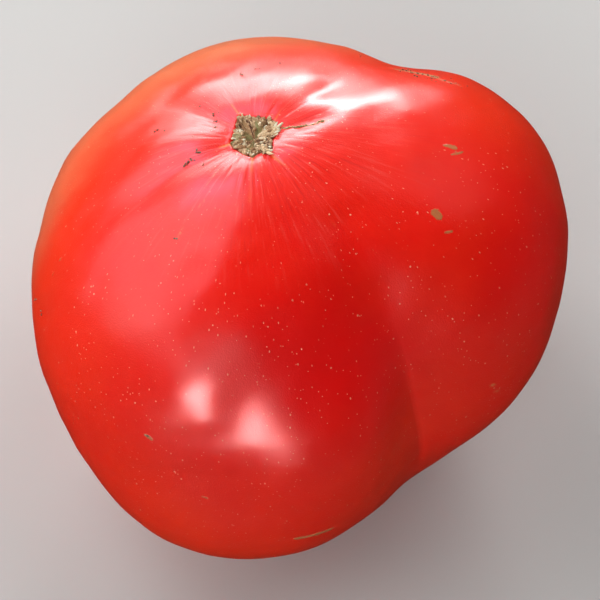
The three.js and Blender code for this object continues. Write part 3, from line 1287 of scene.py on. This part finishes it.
@dataclass
class StemCrack:
    """The thin corky crack that runs out from the scar's right corner, with beads on it.

    Its path goes through azimuth and polar angles in degrees, and its other sizes are in millimetres.
    """

    skin: Skin
    seat: Seat
    path: tuple[Pair, ...] = ((18, 6.6), (15.5, 10.2), (12.5, 12.4), (11, 14.3), (11, 16.3), (12, 18.6))
    start_radius: float = 0.24
    end_radius: float = 0.1
    waver: float = 0.35
    steps: int = 80
    sides: int = 10
    beads: int = 30
    bead_size: Pair = (0.12, 0.3)
    bead_spread: float = 0.12
    end_knob: tuple[float, float, float] = (0.46, 0.4, 0.36)
    seed: int = 9
    finish: CorkFinish = CorkFinish("crack cork", colour(0.36, 0.22, 0.09), colour(0.60, 0.44, 0.24))

    def build(self) -> bpy.types.Object:
        """Builds the crack's raised edge and its beads.

        Returns:
            The piece.
        """
        draw = np.random.default_rng(self.seed)
        mesh = bmesh.new()
        tone = mesh.verts.layers.float.new("tone")
        ring = bmesh.ops.create_circle(mesh, segments=self.sides, radius=1.0)["verts"]
        edges = list(mesh.edges)
        shares = [step / self.steps for step in range(self.steps + 1)]
        self._place_ring(ring, shares[0], tone, draw)
        bmesh.ops.contextual_create(mesh, geom=edges)
        for share in shares[1:]:
            made = bmesh.ops.extrude_edge_only(mesh, edges=edges)["geom"]
            ring = [part for part in made if isinstance(part, bmesh.types.BMVert)]
            edges = [part for part in made if isinstance(part, bmesh.types.BMEdge)]
            edges = [edge for edge in edges if all(vertex in ring for vertex in edge.verts)]
            self._place_ring(ring, share, tone, draw)
        bmesh.ops.contextual_create(mesh, geom=edges)
        bmesh.ops.recalc_face_normals(mesh, faces=mesh.faces)
        for _ in range(self.beads):
            share = draw.uniform(0.0, 1.0)
            point, normal, _ = self._station(share)
            size = draw.uniform(*self.bead_size)
            aside = Vector(draw.normal(0.0, self.bead_spread, 3))
            shape = (size * 1.3, size, size * 0.7)
            spin = draw.uniform(0.0, math.pi)
            Grain(point + aside, shape, normal, spin, draw.uniform(-0.5, 1.0)).add(mesh, self.seat)
        point, normal, _ = self._station(1.0)
        Grain(point, self.end_knob, normal, 0.4, -0.7).add(mesh, self.seat)
        piece = smooth_piece("cork_crack", mesh, self.finish.material())
        keep_values(piece, "moss", np.zeros(len(piece.data.vertices)))
        keep_values(piece, "pit_and_shade", np.zeros(len(piece.data.vertices)))
        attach(piece, BODY)
        return piece

    def _station(self, share: float) -> tuple[Vector, Vector, Vector]:
        """Gives a point of the crack, the way the skin faces there, and the way the crack runs.

        Args:
            share: How far along the crack it is, from 0 to 1.

        Returns:
            The point in millimetres, the normal and the run.
        """
        place = share * (len(self.path) - 1)
        index = min(int(place), len(self.path) - 2)
        start, end = self.path[index], self.path[index + 1]
        part = place - index
        azimuth = start[0] + (end[0] - start[0]) * part
        polar = start[1] + (end[1] - start[1]) * part
        point, normal = self.skin.spot(azimuth, polar)
        run = (self.skin.spot(*end)[0] - self.skin.spot(*start)[0]).normalized()
        point += run.cross(normal) * self.waver * noise.noise(Vector((share * 17.0, 0.4, 0.0)))
        return point, normal, run

    def _place_ring(
        self,
        ring: Sequence[bmesh.types.BMVert],
        share: float,
        tone: bmesh.types.BMLayerItem,
        draw: np.random.Generator,
    ) -> None:
        """Puts a ring of vertices round the crack.

        Args:
            ring: The vertices.
            share: How far along the crack they are.
            tone: The layer that keeps their tone.
            draw: Where random numbers come from.
        """
        point, normal, run = self._station(share)
        side = run.cross(normal).normalized()
        radius = self.start_radius + (self.end_radius - self.start_radius) * share
        radius *= draw.uniform(0.55, 1.3)
        shade = draw.uniform(-0.2, 1.0)
        for index, vertex in enumerate(ring):
            angle = 2.0 * math.pi * index / len(ring)
            shaped = point + side * radius * math.cos(angle) + normal * radius * 0.7 * math.sin(angle)
            vertex.co = self.seat.turn @ shaped * MM + self.seat.middle
            vertex[tone] = shade


@dataclass(frozen=True)
class CrumbPatch:
    """A place with soil on it: azimuth and polar in degrees, how many crumbs, and how far they spread and
    how large they are in millimetres."""

    azimuth: float
    polar: float
    count: int
    spread: float
    size: float


CRUMB_PATCHES = tuple(
    CrumbPatch(*numbers)
    for numbers in (
        (163, 28.5, 2, 0.5, 0.32),
        (165, 25.6, 3, 1.2, 0.26),
        (176, 28.2, 4, 0.9, 0.24),
        (137, 24.9, 2, 0.5, 0.26),
        (135, 22.4, 2, 0.4, 0.24),
        (137, 15.9, 4, 0.6, 0.22),
        (153, 12.1, 2, 0.3, 0.24),
        (144, 13.9, 3, 0.5, 0.22),
        (-167, 15.5, 8, 1.0, 0.28),
        (-157, 17.8, 4, 0.8, 0.3),
        (-157, 19.5, 4, 0.7, 0.24),
        (-145, 15.7, 2, 0.4, 0.3),
        (172, 16.6, 2, 0.5, 0.22),
        (101, 26.9, 3, 0.7, 0.22),
        (91, 29.4, 3, 0.8, 0.2),
        (81, 32.1, 2, 0.6, 0.2),
        (59, 51.0, 3, 0.8, 0.22),
        (25, 38.2, 2, 0.6, 0.22),
        (42, 52.4, 7, 1.4, 0.26),
        (37, 52.2, 7, 1.4, 0.24),
        (33, 51.5, 6, 1.6, 0.24),
        (34, 53.0, 5, 1.8, 0.24),
        (28, 56.4, 5, 1.6, 0.24),
        (-122, 34.9, 2, 0.3, 0.26),
        (-101, 43.6, 1, 0.1, 0.3),
        (-161, 71.1, 3, 0.9, 0.3),
        (-156, 70.2, 3, 0.9, 0.26),
        (-117, 79.0, 3, 0.6, 0.28),
        (-25, 50.0, 3, 0.7, 0.2),
        (140, 95.0, 3, 1.5, 0.26),
        (75, 84.0, 3, 1.5, 0.24),
        (-20, 118.0, 3, 1.5, 0.24),
    )
)


@dataclass
class SoilCrumbs:
    """Small crumbs of dry soil that stick to the skin.

    Sunk is a share of a crumb's half height, radius turns millimetres on the skin into angles, and scatter
    is a share of a patch's spread.
    """

    skin: Skin
    seat: Seat
    patches: tuple[CrumbPatch, ...] = CRUMB_PATCHES
    seed: int = 21
    sunk: float = 0.35
    radius: float = 48.0
    scatter: float = 0.6
    finish: SoilFinish = SoilFinish()

    def build(self) -> bpy.types.Object:
        """Builds all the crumbs as one piece.

        Returns:
            The piece.
        """
        draw = np.random.default_rng(self.seed)
        mesh = bmesh.new()
        mesh.verts.layers.float.new("tone")
        for patch in self.patches:
            for _ in range(patch.count):
                self._add_crumb(mesh, patch, draw)
        piece = smooth_piece("soil_crumbs", mesh, self.finish.material())
        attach(piece, BODY)
        return piece

    def _add_crumb(self, mesh: bmesh.types.BMesh, patch: CrumbPatch, draw: np.random.Generator) -> None:
        """Adds one crumb somewhere in a patch.

        Args:
            mesh: The mesh.
            patch: The patch.
            draw: Where random numbers come from.
        """
        level = self.radius * math.sin(math.radians(patch.polar))
        azimuth = patch.azimuth + math.degrees(draw.normal(0.0, patch.spread * self.scatter) / level)
        polar = patch.polar + math.degrees(draw.normal(0.0, patch.spread * self.scatter) / self.radius)
        size = patch.size * draw.uniform(0.4, 1.0)
        shape = (size * draw.uniform(0.9, 1.6), size, size * draw.uniform(0.5, 0.8))
        point, normal = self.skin.spot(azimuth, polar)
        middle = point + normal * shape[2] * self.sunk
        spin = draw.uniform(0.0, math.pi)
        Grain(middle, shape, normal, spin, draw.uniform(0.0, 0.8)).add(mesh, self.seat)


class Use(Enum):
    """What a light panel is for."""

    FILL = "it lights the skin, and no highlight shows it"
    GLOSS = "it shows in highlights alone"
    BOTH = "it lights the skin and shows in highlights"


@dataclass(frozen=True)
class Panel:
    """A round soft light panel that faces the tomato.

    Its bearing is from +Y towards +X and its elevation is from level, in degrees. Its distance and its two
    widths are in metres. It is brightest in the middle, and its brightness fades to nothing over the
    outer share of its radius that is its feather.
    """

    name: str
    use: Use
    bearing: float
    elevation: float
    distance: float
    widths: Pair
    brightness: float
    tint: tuple[float, float, float] = (1.0, 1.0, 1.0)
    feather: float = 0.9
    aim_height: float = 0.06

    def build(self) -> bpy.types.Object:
        """Makes the light.

        Returns:
            The light's object.
        """
        data = bpy.data.lights.new(self.name, "AREA")
        data.shape = "ELLIPSE"
        data.size, data.size_y = self.widths
        area = math.pi / 4.0 * self.widths[0] * self.widths[1]
        data.energy = self.brightness * math.pi * area
        data.color = self.tint
        graph = Graph(data)
        across, along, _ = graph.parts(graph.node("ShaderNodeNewGeometry", output="Parametric"))
        across, along = across - 0.5, along - 0.5
        out = (across * across + along * along).root() * 2.0
        glow = graph.node("ShaderNodeEmission", inputs={"Strength": out.ease(1.0, 1.0 - self.feather)})
        graph.end_in("ShaderNodeOutputLight", glow)
        light = bpy.data.objects.new(self.name, data)
        bearing, rise = math.radians(self.bearing), math.radians(self.elevation)
        way = Vector((math.sin(bearing) * math.cos(rise), math.cos(bearing) * math.cos(rise), math.sin(rise)))
        light.location = way * self.distance + Vector((0.0, 0.0, self.aim_height))
        light.rotation_euler = (-way).to_track_quat("-Z", "Y").to_euler()
        light.visible_camera = False
        light.visible_diffuse = self.use is not Use.GLOSS
        light.visible_glossy = self.use is not Use.FILL
        bpy.context.scene.collection.objects.link(light)
        return light


@dataclass
class Studio:
    """The camera, the floor and the soft lights.

    The elevation is in degrees, the lens in millimetres and the other lengths in metres. The camera aims
    at the fruit's middle, moved across by the offset. Beyond its level radius the floor curves up.
    """

    seat: Seat
    elevation: float = 60.0
    distance: float = 0.4625
    lens: float = 123.7
    aim_offset: Pair = (0.00286, -0.00662)
    floor_side: float = 6.0
    level_radius: float = 2.1
    sky: Colour = colour(0.03, 0.034, 0.038)
    ground: Colour = colour(0.03, 0.024, 0.014)
    panels: tuple[Panel, ...] = (
        Panel("key", Use.FILL, -42, 45, 1.6, (1.8, 1.5), 6.2),
        Panel("left fill", Use.FILL, -88, 30, 1.8, (2.6, 2.0), 3.1),
        Panel("right fill", Use.FILL, 45, 50, 1.9, (2.4, 2.0), 3.8),
        Panel("front fill", Use.FILL, -165, 35, 1.8, (2.0, 1.6), 4.6),
        Panel("sky", Use.GLOSS, -68, 40, 2.0, (3.4, 2.6), 2.7, (0.84, 0.88, 1.0), 0.4),
        Panel("blue sky", Use.GLOSS, -31, 36, 2.0, (1.2, 1.4), 6.5, (0.25, 0.5, 1.0)),
        Panel("left sky", Use.GLOSS, -114, 28, 2.0, (2.0, 1.2), 2.0),
        Panel("low sky", Use.GLOSS, -10, 9, 1.2, (1.35, 0.6), 15.0, (0.95, 0.97, 1.0)),
        Panel("back", Use.BOTH, 3, 10, 0.74, (0.3, 0.2), 34.0, aim_height=0.09),
        Panel("front", Use.GLOSS, -163, 6, 0.66, (0.34, 0.5), 37.0),
        Panel("front sky", Use.GLOSS, -148, 27, 0.9, (0.8, 0.6), 2.1),
    )
    finish: FloorFinish = FloorFinish()

    def build(self) -> bpy.types.Object:
        """Makes the camera, the lights and the sky, and lays the floor.

        Returns:
            The floor.
        """
        scene = bpy.context.scene
        scene.view_settings.view_transform = "Standard"
        scene.camera = self._camera()
        scene.world = self._world()
        for panel in self.panels:
            panel.build()
        mesh = bmesh.new()
        bmesh.ops.create_grid(mesh, x_segments=60, y_segments=60, size=self.floor_side / 2.0)
        for vertex in mesh.verts:
            vertex.co.z = max(0.0, vertex.co.xy.length - self.level_radius) ** 2
        floor = smooth_piece("floor", mesh, self.finish.material())
        floor.visible_glossy = False
        return floor

    def _camera(self) -> bpy.types.Object:
        """Makes the camera at the photograph's viewing angle.

        Returns:
            The camera's object.
        """
        data = bpy.data.cameras.new("camera")
        data.sensor_width = 36.0
        data.lens = self.lens
        camera = bpy.data.objects.new("camera", data)
        rise = math.radians(self.elevation)
        aim = self.seat.middle + Vector((*self.aim_offset, 0.0))
        camera.location = aim + Vector((0.0, -math.cos(rise), math.sin(rise))) * self.distance
        camera.rotation_euler = (math.pi / 2.0 - rise, 0.0, 0.0)
        bpy.context.scene.collection.objects.link(camera)
        return camera

    def _world(self) -> bpy.types.World:
        """Makes the dim surroundings, a little brighter below than above.

        Returns:
            The world.
        """
        world = bpy.data.worlds.new("surroundings")
        graph = Graph(world)
        _, _, height = graph.parts(graph.node("ShaderNodeTexCoord", output="Generated"))
        tint = graph.mix(height.ease(-0.1, 0.25), self.ground, self.sky)
        graph.end_in("ShaderNodeOutputWorld", graph.node("ShaderNodeBackground", inputs={"Color": tint}))
        return world


def main() -> None:
    """Builds the tomato, its marks and its studio."""
    logging.basicConfig(level=logging.INFO, format="%(name)s: %(message)s")
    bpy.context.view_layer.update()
    form = FruitForm()
    seat = Seat.of_form(form)
    skin = Skin(form, ScarOutline())
    dressing = [kind(skin, seat) for kind in (Fruit, StemScar, StemCrack, SoilCrumbs)]
    for part in (*dressing, Studio(seat)):
        piece = part.build()
        LOG.info("%s: %d faces", piece.name, len(piece.data.polygons))


if __name__ == "__main__":
    main()
